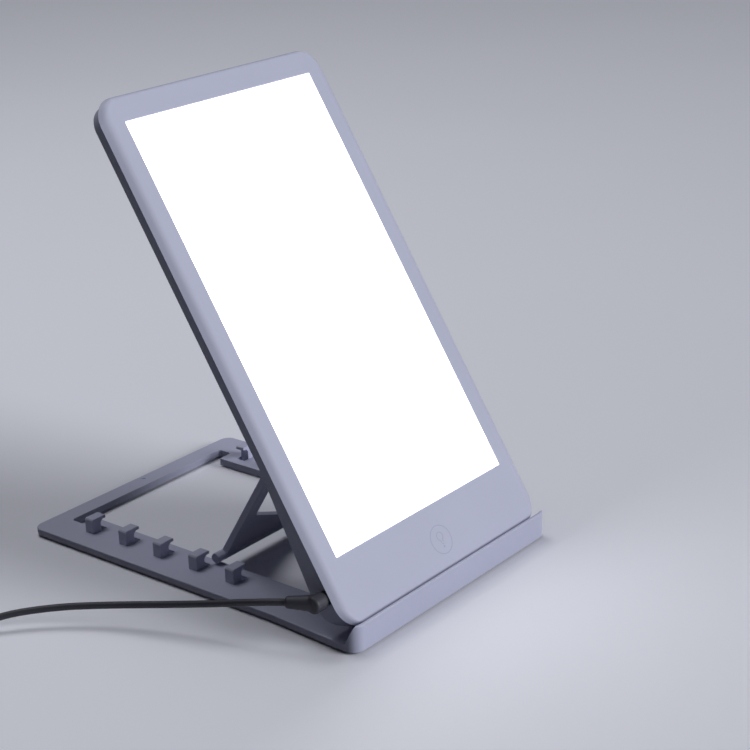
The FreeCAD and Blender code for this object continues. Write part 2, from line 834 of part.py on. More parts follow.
def plug_place():
    lean = math.radians(recline)
    back = jack_rise * math.cos(lean) - jack_axis * math.sin(lean)
    rise = jack_rise * math.sin(lean) + jack_axis * math.cos(lean)
    return pivot_y + back, pivot_z + rise


def plug_barrel():
    y, z = plug_place()
    start = -shell_half - plug_clear
    barrel = rod(start, start + plug_barrel_length, y, z, plug_barrel_radius)
    return barrel.cut(rod(start, start + plug_barrel_length + 1, y, z, plug_barrel_bore))


def plug_body():
    """A right-angled plug: a round head on the barrel, and a tail that tapers towards the cord."""
    y, z = plug_place()
    head_side = -panel_half - plug_clear
    head = rod(head_side - plug_head_width, head_side, y, z, plug_head_radius)
    head = head.makeFillet(plug_head_round, head.Edges)
    shoulder = rod(head_side - 1, -shell_half - plug_clear, y, z, plug_shoulder)
    start = FreeCAD.Vector(head_side - plug_head_width / 2, y, z)
    end = FreeCAD.Vector(*cord_route[0])
    reach = (end - start) * 1.4
    last = tail_end_radius * 1.4 - plug_head_radius * 0.4
    tail = Part.makeCone(plug_head_radius - tail_step, last, reach.Length, start, reach)
    keep = box(cord_cut, 0, y - 40, y + 60, z - 30, z + 30)
    return head.fuse(shoulder).fuse(tail.common(keep)).removeSplitter()


# --- cord and adapter ---

def arc_radius(before, corner, after):
    arriving = corner - before
    leaving = after - corner
    turn = arriving.getAngle(leaving)
    return 0.45 * min(arriving.Length, leaving.Length) / math.tan(turn / 2), turn


def tube(points, diameter):
    """Straight runs joined by tangent arcs, each as large as its two runs allow."""
    corners = [FreeCAD.Vector(*point) for point in points]
    edges = []
    here = corners[0]
    for before, corner, after in zip(corners, corners[1:], corners[2:]):
        radius, turn = arc_radius(before, corner, after)
        setback = radius * math.tan(turn / 2)
        arrive = (corner - before).normalize()
        leave = (after - corner).normalize()
        first = corner - arrive * setback
        last = corner + leave * setback
        inward = (leave - arrive).normalize()
        middle = corner + inward * (radius / math.cos(turn / 2) - radius)
        edges.append(Part.LineSegment(here, first).toShape())
        edges.append(Part.Arc(first, middle, last).toShape())
        here = last
        print("bend radius", round(radius, 1), "turn", round(math.degrees(turn), 1))
    edges.append(Part.LineSegment(here, corners[-1]).toShape())
    path = Part.Wire(edges)
    section = Part.Wire(Part.makeCircle(diameter / 2, corners[0], corners[1] - corners[0]))
    solid = path.makePipeShell([section], True, False)
    print("tube volume", round(solid.Volume), "section times length",
          round(math.pi * diameter ** 2 / 4 * path.Length))
    return solid


def coil_ring(z0, z1):
    x, y = coil_centre
    outer = post(x, y, z0, z1, coil_turn_radius + coil_width / 2)
    return outer.cut(post(x, y, z0 - 1, z1 + 1, coil_turn_radius - coil_width / 2))


def coil_space():
    return coil_ring(tie_thickness, tie_thickness + coil_height)


def power_cord():
    start = FreeCAD.Vector(*cord_route[0])
    ahead = (FreeCAD.Vector(*cord_route[1]) - start).normalize()
    first = start - ahead * 6
    route = [(first.x, first.y, first.z)] + cord_route[1:]
    run = tube(route, cord_diameter)
    run = run.cut(box(cord_cut, 0, front_face, -front_face, 0, 60))
    return run.cut(coil_space())


def cord_coil():
    ring = coil_space()
    return ring.makeFillet(cord_diameter / 2 - 0.1, edges_at(ring, tie_thickness + coil_height))


def cord_tie():
    """A strap once round the bundle of turns, on the side away from the adapter."""
    x, y = coil_centre
    middle = x + coil_turn_radius
    reach = coil_width / 2 + tie_thickness
    strap = box(middle - reach, middle + reach, y - tie_width / 2, y + tie_width / 2, 0,
                coil_height + 2 * tie_thickness)
    return strap.cut(coil_space())


def lead_ends():
    x = coil_centre[0] - coil_turn_radius - coil_width / 2 + cord_diameter / 2
    start = FreeCAD.Vector(x, coil_centre[1], tie_thickness + coil_height - cord_diameter / 2)
    return start, FreeCAD.Vector(x, adapter_front - relief_length, relief_rise)


def adapter_lead():
    start, end = lead_ends()
    lead = Part.makeCylinder(cord_diameter / 2, (end - start).Length + 1, start, end - start)
    keep = box(end.x - 20, end.x + 20, start.y, end.y, 0, 40)
    return lead.common(keep).cut(coil_space())


def adapter_relief():
    end = lead_ends()[1]
    return Part.makeCone(cord_diameter / 2 + relief_step, relief_radius, relief_length, end,
                         FreeCAD.Vector(0, 1, 0))


def adapter_shell():
    x = lead_ends()[1].x + adapter_width / 2 - adapter_offset
    body = plate(x - adapter_width / 2, x + adapter_width / 2, adapter_front, adapter_front + adapter_length,
                 0, adapter_height, adapter_round)
    body = body.makeFillet(adapter_edge, edges_at(body, adapter_height) + edges_at(body, 0))
    hollow = box(x - adapter_width / 2 + adapter_wall, x + adapter_width / 2 - adapter_wall,
                 adapter_front + adapter_wall, adapter_front + adapter_length - adapter_wall,
                 adapter_wall, adapter_height - adapter_wall)
    return body.cut(hollow), x


def adapter_parts():
    shell, x = adapter_shell()
    seam_z = adapter_height - adapter_cover_depth
    y_prong = adapter_front + prong_from_front
    low_x, high_x = x - adapter_width, x + adapter_width
    low_y, high_y = adapter_front - adapter_length, adapter_front + 2 * adapter_length
    cover = shell.common(box(low_x, high_x, low_y, high_y, seam_z, 2 * adapter_height))
    case = shell.common(box(low_x, high_x, low_y, high_y, 0, seam_z))
    prongs = []
    for side in (-1, 1):
        middle = x + side * prong_gap / 2
        blade = box(middle - prong_thickness / 2, middle + prong_thickness / 2, y_prong - prong_width / 2,
                    y_prong + prong_width / 2, adapter_height - prong_root, adapter_height + prong_length)
        tip = blade.cut(rod(middle - prong_thickness, middle + prong_thickness, y_prong,
                            adapter_height + prong_length - prong_eye_inset, prong_eye))
        prongs.append(tip)
        cover = cover.cut(blade)
    inner = adapter_wall
    board = box(x - adapter_width / 2 + inner, x + adapter_width / 2 - inner, adapter_front + inner,
                adapter_front + adapter_length - inner, inner, inner + board_thickness)
    stand = inner + board_thickness
    core_front = adapter_front + core_inset
    core = box(x - core_size[0] / 2, x + core_size[0] / 2, core_front, core_front + core_size[1], stand,
               stand + core_size[2])
    can = post(x + can_place[0], adapter_front + can_place[1], stand, stand + can_height, can_radius)
    return case, cover, prongs, board, [core, can]


os.makedirs("parts", exist_ok=True)
save("base_frame", base_frame())
save("base_feet", base_feet())
save("stop_rack_left", stop_rack())
save("stop_rack_right", mirrored(stop_rack()))
save("tilt_pins", tilt_pins())
save("friction_washers", friction_washers())

save("front_bezel", on_panel(front_bezel()))
save("rear_shell", on_panel(rear_shell()))
save("panel_screws", [on_panel(screw) for screw in panel_screws()])
save("reflector_sheet", on_panel(flat_sheet(reflector_half, guide_low, guide_high, wall_back, guide_back)))
save("light_guide", on_panel(flat_sheet(guide_half, guide_low, guide_high, guide_back, diffuser_back)))
save("diffuser", on_panel(diffuser()))
gasket = flat_sheet(carrier_outer, guide_low, guide_high, gasket_back, face_back).cut(
    flat_sheet(screen_width / 2 + gasket_setback, screen_low - gasket_setback, screen_high + gasket_setback,
               gasket_back - 1, face_back + 1))
save("diffuser_gasket", on_panel(gasket))
save("led_strips", [on_panel(strip) for strip in led_strips()])
save("led_chips", [on_panel(chip) for chip in leds()])
save("led_carriers", [on_panel(carrier) for carrier in led_carriers()])
save("driver_board", on_panel(driver_board()))
save("driver_components", [on_panel(part) for part in driver_components()])
save("strip_leads", [on_panel(lead) for lead in strip_leads()])
save("dc_jack", on_panel(dc_jack()))
save("touch_board", on_panel(touch_board()))
save("touch_header", on_panel(touch_header()))
save("leg_pins", [on_panel(pin) for pin in leg_pins()])

save("leg_frame", on_leg(leg_frame()))

save("plug_barrel", plug_barrel())
save("plug_body", plug_body())
save("power_cord", power_cord())
save("cord_coil", cord_coil())
save("cord_tie", cord_tie())
save("adapter_lead", adapter_lead())
save("adapter_relief", adapter_relief())
case, cover, prongs, board, inside = adapter_parts()
save("adapter_case", case)
save("adapter_cover", cover)
save("adapter_prongs", prongs)
save("adapter_board", board)
save("adapter_components", inside)
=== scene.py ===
import bmesh
import bpy
import math
import numpy as np
from mathutils import Matrix


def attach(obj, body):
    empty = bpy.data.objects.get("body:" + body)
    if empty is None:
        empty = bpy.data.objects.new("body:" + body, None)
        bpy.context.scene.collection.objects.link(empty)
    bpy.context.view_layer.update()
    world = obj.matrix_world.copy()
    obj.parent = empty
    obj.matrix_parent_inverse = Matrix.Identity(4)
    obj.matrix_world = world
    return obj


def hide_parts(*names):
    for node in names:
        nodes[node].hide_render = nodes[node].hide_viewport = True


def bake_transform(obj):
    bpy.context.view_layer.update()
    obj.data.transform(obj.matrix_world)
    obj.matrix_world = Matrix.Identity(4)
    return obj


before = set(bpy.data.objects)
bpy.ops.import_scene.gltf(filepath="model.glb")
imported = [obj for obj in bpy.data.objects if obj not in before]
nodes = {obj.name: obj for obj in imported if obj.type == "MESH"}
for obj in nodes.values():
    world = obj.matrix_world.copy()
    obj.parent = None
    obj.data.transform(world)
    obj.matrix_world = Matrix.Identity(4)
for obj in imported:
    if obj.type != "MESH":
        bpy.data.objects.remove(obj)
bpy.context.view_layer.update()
mm = 0.001

# The panel's own axes: x across, u up the panel from the tilt pivot, w out of its front
panelFrame = {"lean": math.radians(58.6), "pivotY": -94.1, "pivotZ": 8.3}


def onPanel(x, u, w):
    # turns panel places (mm) by the lean about the tilt axis and moves them to the pivot, in metres
    lean = panelFrame["lean"]
    y = panelFrame["pivotY"] + u * math.cos(lean) - w * math.sin(lean)
    z = panelFrame["pivotZ"] + u * math.sin(lean) + w * math.cos(lean)
    return np.stack(np.broadcast_arrays(x, y, z), axis=-1) * mm


# Camera
view = {
    "lens": 86.08,
    "sensor": 36.0,
    "nearest": 0.01,
    "place": (-0.62599, -0.58348, 0.40875),
    "right": (0.62642, -0.77862, -0.03664),
    "down": (-0.29527, -0.19353, -0.93561),
    "ahead": (0.72140, 0.59690, -0.35114),
}
cameraData = bpy.data.cameras.new("camera")
cameraData.lens = view["lens"]
cameraData.sensor_width = view["sensor"]
cameraData.clip_start = view["nearest"]
camera = bpy.data.objects.new("camera", cameraData)
bpy.context.collection.objects.link(camera)
axes = np.array([view["right"], view["down"], view["ahead"]]) * np.array([[1], [-1], [-1]])
placed = np.eye(4)
placed[:3, :3] = axes.T
placed[:3, 3] = view["place"]
camera.matrix_world = Matrix(placed.tolist())
bpy.context.scene.camera = camera
print("camera set")


# Mesh helpers
def ringFaces(rings, count, closed):
    # every quad between two neighbouring rings of points, worked out as one array
    ring = np.arange(rings if closed else rings - 1)[:, None]
    here = np.arange(count)[None, :]
    over = (here + 1) % count
    low, high = ring * count, ((ring + 1) % rings) * count
    corners = np.broadcast_arrays(low + here, low + over, high + over, high + here)
    return np.stack(corners, axis=-1).reshape(-1, 4)


def shell(grid, closed=False):
    # rings of points as vertices and faces; where the last ring doesn't join the first, a fan closes each end
    rings, count = grid.shape[:2]
    points = grid.reshape(-1, 3)
    faces = [ringFaces(rings, count, closed)]
    for last in () if closed else (False, True):
        middle = np.full(count, len(points))
        points = np.vstack([points, grid[-1 if last else 0].mean(axis=0)])
        edge = np.arange(count) + (rings - 1) * count * last
        onward = np.roll(edge, -1)
        first, second = (edge, onward) if last else (onward, edge)
        faces.append(np.stack([first, second, middle, middle], axis=-1))
    return points, np.vstack(faces)


def outward(points, faces):
    # the signed volume tells whether the faces look inwards; if so they are turned
    a, b, c, d = (points[faces[:, k]] for k in range(4))
    volume = (a * (np.cross(b, c) + np.cross(c, d))).sum()
    return faces if volume > 0 else faces[:, ::-1]


def pieceFrom(name, shells, smooth=38):
    # one mesh of several shells; a quad that repeats its last corner becomes a triangle
    points, lists, start = [], [], 0
    for shellPoints, faces in shells:
        faces = outward(shellPoints, faces) + start
        lists += [list(dict.fromkeys(face)) for face in faces.tolist()]
        points.append(shellPoints)
        start += len(shellPoints)
    mesh = bpy.data.meshes.new(name)
    mesh.from_pydata(np.vstack(points).tolist(), [], lists)
    mesh.update()
    mesh.validate()
    mesh.shade_smooth()
    mesh.set_sharp_from_angle(angle=math.radians(smooth))
    piece = bpy.data.objects.new(name, mesh)
    bpy.context.collection.objects.link(piece)
    return piece


def routeLine(points, steps):
    # a quadratic NURBS that the control points lead, read back as a line of points
    curve = bpy.data.curves.new("route", "CURVE")
    curve.dimensions = "3D"
    spline = curve.splines.new("NURBS")
    spline.points.add(len(points) - 1)
    spline.points.foreach_set("co", np.c_[points, np.ones(len(points))].ravel())
    spline.order_u = 3
    spline.use_endpoint_u = True
    spline.resolution_u = steps
    holder = bpy.data.objects.new("route", curve)
    bpy.context.collection.objects.link(holder)
    bpy.context.view_layer.update()
    mesh = bpy.data.meshes.new_from_object(holder)
    line = np.zeros(len(mesh.vertices) * 3)
    mesh.vertices.foreach_get("co", line)
    bpy.data.objects.remove(holder)
    bpy.data.curves.remove(curve)
    bpy.data.meshes.remove(mesh)
    return line.reshape(-1, 3)


def tubeGrid(line, radii, sides):
    # a ring of points round each point of the line, square to the way it runs; none of it runs upright
    ahead = np.gradient(line, axis=0)
    ahead /= np.linalg.norm(ahead, axis=1, keepdims=True)
    across = np.cross(ahead, (0, 0, 1))
    across /= np.linalg.norm(across, axis=1, keepdims=True)
    over = np.cross(across, ahead)
    turn = np.linspace(0, 2 * np.pi, sides, endpoint=False)[None, :, None]
    wide = np.broadcast_to(np.asarray(radii, float).reshape(-1, 1, 1), (len(line), 1, 1))
    return line[:, None] + wide * (np.cos(turn) * across[:, None] + np.sin(turn) * over[:, None])


def lengthMap(piece, grid):
    # UV map: u along the tube in metres, v once round it
    run = np.r_[0, np.linalg.norm(np.diff(grid.mean(axis=1), axis=0), axis=1).cumsum()]
    rows, cols = grid.shape[:2]
    alongAll = np.r_[np.repeat(run, cols), run[0], run[-1]]
    roundAll = np.r_[np.tile(np.arange(cols) / cols, rows), 0, 0]
    loops = np.zeros(len(piece.data.loops), int)
    piece.data.loops.foreach_get("vertex_index", loops)
    layer = piece.data.uv_layers.new(name="length")
    layer.data.foreach_set("uv", np.c_[alongAll[loops], roundAll[loops]].ravel())


# Cord: from the plug over the table to the coil, round it, and on to the adapter
cordSizes = {
    "diameter": 3.5,
    "route": [
        (-87.6, -86.4, 24.8), (-90.5, -81.5, 24.8), (-97.0, -66.9, 23.2),
        (-103.5, -46.0, 18.8), (-110.5, -22.5, 14.4), (-121.6, 2.9, 11.3),
        (-135.5, 25.0, 9.7), (-155.0, 43.7, 8.0), (-170.0, 52.4, 3.4),
    ],
    "coilCentre": (-174.0, 81.0),
    "firstAngle": 231.15,
    "sweep": 3999.9,  # degrees, over all the turns
    "steps": 178,
    "stepAngle": 242.4,  # where one turn ends and the next begins
    "layers": [(23.5, 20.0, 16.5), (16.5, 20.0, 23.5)] * 2,  # radii of each layer's turns
    "layerHeights": (2.55, 6.05, 9.55, 13.05),
    "radiusStep": 0.72,  # parts of a turn
    "layerStep": 0.86,
    "stepLength": 0.14,
    "lead": [(-197.5, 87.5, 12.6), (-197.5, 98.0, 10.6), (-197.5, 112.0, 8.6)],
    "lengthwiseSteps": 6,
    "sides": 14,
}


def eased(value, start, length):
    # 0 up to the start, 1 from a length further on, and three t squared less two t cubed between them
    t = np.clip((value - start) / length, 0, 1)
    return t * t * (3 - 2 * t)


def coilPoints(s):
    # clockwise turns: the radius steps in one part of each turn and the height in the part after it
    turnStep = s["sweep"] / s["steps"]
    angle = s["firstAngle"] - np.arange(s["steps"] + 1) * turnStep
    turned = (s["stepAngle"] - angle) / 360
    number = np.floor(turned).astype(int)
    part = turned - number
    radii = np.ravel(s["layers"])
    radii = np.r_[radii, radii[-1]]
    change = eased(part, s["radiusStep"], s["stepLength"])
    radius = radii[number] + (radii[number + 1] - radii[number]) * change
    radius = radius / math.cos(math.radians(turnStep / 2))  # the curve cuts inside its control points
    heights = np.array(s["layerHeights"] + s["layerHeights"][-1:])
    turnsPerLayer = len(s["layers"][0])
    layer = number // turnsPerLayer
    lastTurn = number % turnsPerLayer == turnsPerLayer - 1
    rise = eased(part, s["layerStep"], s["stepLength"]) * lastTurn
    height = heights[layer] + (heights[layer + 1] - heights[layer]) * rise
    x = s["coilCentre"][0] + radius * np.cos(np.radians(angle))
    y = s["coilCentre"][1] + radius * np.sin(np.radians(angle))
    return np.c_[x, y, height]


cordPoints = np.vstack([cordSizes["route"], coilPoints(cordSizes), cordSizes["lead"]]) * mm
cordLine = routeLine(cordPoints, cordSizes["lengthwiseSteps"])
cordGrid = tubeGrid(cordLine, cordSizes["diameter"] / 2 * mm, cordSizes["sides"])
cord = pieceFrom("cord", [shell(cordGrid)])
lengthMap(cord, cordGrid)

# Plug: round head on the barrel and a tail that tapers to the cord
plug = {
    "axis": (-93.942, 24.489),
    "headSide": -78.4,
    "headWidth": 8.2,
    "headRadius": 4.35,
    "headRound": 1.6,
    "neckEnds": (-83.6, -76.9),
    "neckRadius": 3.4,
    "tailStart": (-82.5, -93.94, 24.49),
    "tailBend": (-86.2, -88.6, 24.7),
    "tailEnd": (-90.3, -81.6, 24.75),
    "tailRadii": (4.25, 2.85),
    "tailChamfer": 0.8,
    "chamferFrom": 0.93,  # part of the tail's length
    "tailSteps": 24,
    "tailSides": 40,
    "voxel": 0.35,
    "relaxing": (0.5, 6),  # strength and repeats
}


def revolved(profile, axis, sides=64):
    # each point of the profile, (place along X, radius), carried round the axis
    along, radius = np.array(profile).T
    turn = np.linspace(0, 2 * np.pi, sides, endpoint=False)
    x = np.repeat(along[:, None], sides, axis=1)
    y = axis[0] + radius[:, None] * np.cos(turn)
    z = axis[1] + radius[:, None] * np.sin(turn)
    return np.stack([x, y, z], axis=-1) * mm


def roundedProfile(start, end, radius, rounding, steps=8):
    # half section of a disc with rounded rims, from one end of the axis to the other
    t = np.linspace(0, np.pi / 2, steps)
    inward = rounding * (1 - np.sin(t))
    reach = radius - rounding + rounding * np.cos(t)
    first = np.c_[start + inward, reach][::-1]
    last = np.c_[end - inward, reach]
    nearAxis = 0.01
    return np.vstack([(start, nearAxis), first, last, (end, nearAxis)])


def plugShells(s):
    # head and neck are turned round the barrel's axis; the tail's radius falls evenly to a chamfered end
    far = s["headSide"] - s["headWidth"]
    head = revolved(roundedProfile(far, s["headSide"], s["headRadius"], s["headRound"]), s["axis"])
    neck = revolved([(end, s["neckRadius"]) for end in s["neckEnds"]], s["axis"])
    line = routeLine(np.array([s["tailStart"], s["tailBend"], s["tailEnd"]]) * mm, s["tailSteps"])
    part = np.linspace(0, 1, len(line))
    first, last = s["tailRadii"]
    end = np.clip((part - s["chamferFrom"]) / (1 - s["chamferFrom"]), 0, 1) ** 2
    taper = (first + (last - first) * part - s["tailChamfer"] * end) * mm
    return [shell(head), shell(neck), shell(tubeGrid(line, taper, s["tailSides"]))]


def evaluated(piece):
    # the mesh with its modifiers takes the place and the name of the piece's own
    bpy.context.view_layer.update()
    mesh = bpy.data.meshes.new_from_object(piece.evaluated_get(bpy.context.evaluated_depsgraph_get()))
    piece.modifiers.clear()
    old, name = piece.data, piece.data.name
    piece.data = mesh
    bpy.data.meshes.remove(old)
    mesh.name = name


plugPiece = pieceFrom("plugMoulding", plugShells(plug))
remesh = plugPiece.modifiers.new("blendTogether", "REMESH")
remesh.mode = "VOXEL"
remesh.voxel_size = plug["voxel"] * mm
remesh.use_smooth_shade = True
relax = plugPiece.modifiers.new("relax", "SMOOTH")
relax.factor, relax.iterations = plug["relaxing"]
evaluated(plugPiece)
plugPiece.data.shade_smooth()

# Tie: a strap once round the bundle of turns
tie = {
    "middle": (-154.0, 81.0, 7.8),
    "half": (5.25, 7.0),
    "corner": 2.6,
    "thickness": 0.8,
    "width": 6.0,
    "edgePower": 0.35,  # 1 makes the strap's section round, and 0 square
    "stepsRound": 96,
    "stepsSection": 24,
}


def tieGrid(s):
    # a rounded rectangle round the bundle, with the strap's rounded section at each point of it
    turn = np.linspace(0, 2 * np.pi, s["stepsRound"], endpoint=False)
    corner = np.round((turn - np.pi / 4) / (np.pi / 2)) * np.pi / 2 + np.pi / 4
    middleX = (s["half"][0] - s["corner"]) * np.sign(np.cos(corner))
    middleZ = (s["half"][1] - s["corner"]) * np.sign(np.sin(corner))
    part = np.linspace(0, 2 * np.pi, s["stepsSection"], endpoint=False)
    across = np.sign(np.cos(part)) * np.abs(np.cos(part)) ** s["edgePower"]
    over = np.sign(np.sin(part)) * np.abs(np.sin(part)) ** s["edgePower"]
    reach = s["corner"] + s["thickness"] / 2 * (1 + over)[None, :]
    x = s["middle"][0] + middleX[:, None] + reach * np.cos(turn)[:, None]
    z = s["middle"][2] + middleZ[:, None] + reach * np.sin(turn)[:, None]
    y = s["middle"][1] + np.broadcast_to(s["width"] / 2 * across, x.shape)
    return np.stack([x, y, z], axis=-1) * mm


cordTie = pieceFrom("cordStrap", [shell(tieGrid(tie), closed=True)])

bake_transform(cord)
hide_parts("power_cord", "cord_coil", "adapter_lead")
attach(plugPiece, "panel")
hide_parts("plug_body")
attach(cordTie, "base")
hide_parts("cord_tie")
print("cord, plug and tie made")


def evenShading(piece):
    # large faces set the normals along their borders, so that they shade flat up to the rounding
    even = piece.modifiers.new("evenShading", "WEIGHTED_NORMAL")
    even.keep_sharp = True
    evaluated(piece)


# Softened copies of moulded solids
softening = {
    "mergeWithin": 0.002,  # mm
    "flatWithin": 0.6,  # degrees
    "roundFrom": 28.0,
    "sharpFrom": 32.0,
    "segments": 3,
    "pieces": {
        "base_frame": ("baseMoulding", 0.35, "base"),  # name, rounding in mm, body
        "stop_rack_left": ("rackLeft", 0.3, "base"),
        "stop_rack_right": ("rackRight", 0.3, "base"),
        "rear_shell": ("rearMoulding", 0.5, "panel"),
        "leg_frame": ("kickstand", 0.5, "leg"),
    },
}


def softened(node, name, width, s):
    # a merged copy whose flat faces are joined again and whose sharp edges are rounded
    work = bmesh.new()
    work.from_mesh(nodes[node].data)
    bmesh.ops.remove_doubles(work, verts=work.verts, dist=s["mergeWithin"] * mm)
    flat = math.radians(s["flatWithin"])
    bmesh.ops.dissolve_limit(work, angle_limit=flat, verts=work.verts, edges=work.edges)
    mesh = bpy.data.meshes.new(name)
    work.to_mesh(mesh)
    work.free()
    piece = bpy.data.objects.new(name, mesh)
    bpy.context.collection.objects.link(piece)
    rounding = piece.modifiers.new("rounding", "BEVEL")
    rounding.width = width * mm
    rounding.segments = s["segments"]
    rounding.limit_method = "ANGLE"
    rounding.angle_limit = math.radians(s["roundFrom"])
    rounding.use_clamp_overlap = True
    rounding.miter_outer = "MITER_ARC"
    evaluated(piece)
    piece.data.shade_smooth()
    piece.data.set_sharp_from_angle(angle=math.radians(s["sharpFrom"]))
    evenShading(piece)
    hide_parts(node)
    return piece


soft = {}
for node, (name, width, body) in softening["pieces"].items():
    soft[node] = softened(node, name, width, softening)
    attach(soft[node], body)
    print("softened", node, len(soft[node].data.polygons))

# Front bezel
bezel = {
    "half": 78.0,
    "low": -4.9,
    "high": 265.6,
    "corner": 13.0,
    "windowHalf": 65.0,
    "windowLow": 28.1,
    "windowHigh": 252.1,
    "windowCorner": 0.6,
    "front": 15.1,
    "seam": 12.1,
    "back": 13.5,
    "seamRings": [(0.25, 0.0), (0.06, 0.06)],  # in from the side, and forward of the seam
    "rimRings": [(0.0, -0.1), (0.05, 0.04)],  # in from the side, and forward of the rim
    "slopeStart": 0.2,
    "edgeSlope": 35.0,
    "edgeFlat": 1.8,
    "edgeArc": 4.7,
    "arcSteps": 12,
    "endShares": (0.16, 0.36),  # of the sides' insets, at the lower and the upper end
    "windowRings": [(0.7, 0.0), (0.5, -0.02), (0.36, -0.08), (0.1, -0.32), (0.02, -0.44), (0.0, -0.56)],
    "wall": 1.5,
    "backSlope": 1.8,
    "cornerSteps": 14,
}


def bezelGrid(s):
    # rings round the frame: from the seam up a slope, by an arc into the face, down the window and back
    slope = math.radians(s["edgeSlope"])
    t = np.linspace(slope, 0, s["arcSteps"])
    radius = s["edgeArc"] / math.sin(slope)
    edge = np.c_[s["edgeFlat"] + s["edgeArc"] - radius * np.sin(t), s["front"] - radius * (1 - np.cos(t))]
    rim = edge[0, 1] - s["edgeFlat"] * math.tan(slope)
    onSlope = (s["slopeStart"], rim + s["slopeStart"] * math.tan(slope))
    sides = np.vstack([s["seamRings"] + np.array((0, s["seam"])), s["rimRings"] + np.array((0, rim))])
    outer = np.vstack([sides, onSlope, edge])
    cut = np.vstack([s["windowRings"], (0, s["back"] - s["front"])])
    innerDepths = (s["back"], s["back"] - s["backSlope"] / 2, s["seam"])
    inner = np.c_[np.array((s["backSlope"], 0, 0)) + s["wall"], innerDepths]
    window = np.array([s["half"] - s["windowHalf"], s["windowLow"] - s["low"], s["high"] - s["windowHigh"]])
    insets = np.vstack([outer[:, :1] * (1, *s["endShares"]), window - cut[:, :1], inner[:, :1] * (1, 1, 1)])
    corners = np.r_[s["corner"] - outer[:, 0], s["windowCorner"] + cut[:, 0], s["corner"] - inner[:, 0]]
    depth = np.r_[outer[:, 1], s["front"] + cut[:, 1], inner[:, 1]]
    turn = np.linspace(0, np.pi / 2, s["cornerSteps"] + 1)
    angle = (np.arange(4)[:, None] * np.pi / 2 + turn).ravel()
    signX = np.repeat([1, -1, -1, 1], len(turn))
    upper = np.repeat([1, 1, 0, 0], len(turn))
    half = (s["half"] - insets[:, :1] - corners[:, None]) * signX
    low = s["low"] + insets[:, 1:2] + corners[:, None]
    high = s["high"] - insets[:, 2:3] - corners[:, None]
    x = half + corners[:, None] * np.cos(angle)
    u = np.where(upper, high, low) + corners[:, None] * np.sin(angle)
    return onPanel(x, u, depth[:, None])


frontBezel = pieceFrom("frontFrame", [shell(bezelGrid(bezel), closed=True)], smooth=30)
evenShading(frontBezel)
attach(frontBezel, "panel")
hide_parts("front_bezel")

# Printed touch mark: a ring, a lamp sign and a dot
mark = {
    "x": 2.2,
    "u": 10.4,
    "face": 15.1,
    "rise": 0.03,
    "ringRadius": 7.2,
    "line": 0.42,
    "globeRadius": 2.1,
    "globePlace": 1.7,
    "globeGap": 22.0,
    "neckHalf": 0.8,
    "neckLength": 1.3,
    "threadHalf": 0.7,
    "threadGap": 0.7,
    "dotPlace": -3.7,
    "dotRadius": 0.6,
    "flatShare": 0.9,  # of a line's width
    "globePoints": 48,
    "ringPoints": 120,
    "dotPoints": 24,
}


def stroke(line, width, closed):
    # a flat band along a line of panel places: its section is a low rounded bar
    ahead = np.roll(line, -1, axis=0) - np.roll(line, 1, axis=0) if closed else np.gradient(line, axis=0)
    ahead = ahead / np.linalg.norm(ahead, axis=1, keepdims=True)
    across = np.c_[ahead[:, 1], -ahead[:, 0]]
    offset = np.array([-1, -mark["flatShare"], mark["flatShare"], 1]) * width / 2
    rise = np.array([-mark["rise"], mark["rise"], mark["rise"], -mark["rise"]])
    x = line[:, :1] + across[:, :1] * offset
    u = line[:, 1:] + across[:, 1:] * offset
    return shell(onPanel(x, u, mark["face"] + np.broadcast_to(rise, x.shape)), closed)


def arc(radius, start, end, count, middleU):
    # points at even turns from the start to the end, in degrees clockwise from the top
    t = np.radians(np.linspace(start, end, count))
    return np.c_[mark["x"] + radius * np.sin(t), middleU + radius * np.cos(t)]


def circle(radius, count, middleU):
    # an arc whose last point stops one step short of its first
    return arc(radius, 0, 360 - 360 / count, count, middleU)


globeTurn = 180 - mark["globeGap"]
globe = arc(mark["globeRadius"], -globeTurn, globeTurn, mark["globePoints"], mark["u"] + mark["globePlace"])
neckLow = globe[-1, 1] - mark["neckLength"]
dotMiddle = mark["u"] + mark["dotPlace"]
neckLeft, neckRight = [(mark["x"] + mark["neckHalf"] * side, neckLow) for side in (-1, 1)]
thread = [(mark["x"] + mark["threadHalf"] * side, neckLow - mark["threadGap"]) for side in (-1, 0, 1)]
markShells = [
    stroke(circle(mark["ringRadius"], mark["ringPoints"], mark["u"]), mark["line"], True),
    stroke(np.vstack([neckLeft, globe, neckRight]), mark["line"], False),
    stroke(np.array(thread), mark["line"], False),
    stroke(circle(mark["dotRadius"] / 2, mark["dotPoints"], dotMiddle), mark["dotRadius"], True),
]
touchMark = pieceFrom("touchMark", markShells)
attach(touchMark, "panel")
print("bezel and touch mark made")


# Shader node groups shared by the finishes
def newGroup(name, inputs, outputs):
    # a node group with these inputs at these values, and these kinds of output
    group = bpy.data.node_groups.new(name, "ShaderNodeTree")
    for label, value in inputs.items():
        socket = group.interface.new_socket(label, in_out="INPUT", socket_type="NodeSocketFloat")
        socket.default_value = value
    for label, kind in outputs.items():
        group.interface.new_socket(label, in_out="OUTPUT", socket_type=kind)
    return group, group.nodes.new("NodeGroupInput"), group.nodes.new("NodeGroupOutput")


def mathNode(tree, operation, first, second, clamp=False):
    # each of the two terms is a socket to link or a plain number
    node = tree.nodes.new("ShaderNodeMath")
    node.operation = operation
    node.use_clamp = clamp
    for socket, value in zip(node.inputs, (first, second)):
        if isinstance(value, (int, float)):
            socket.default_value = value
        else:
            tree.links.new(value, socket)
    return node.outputs[0]


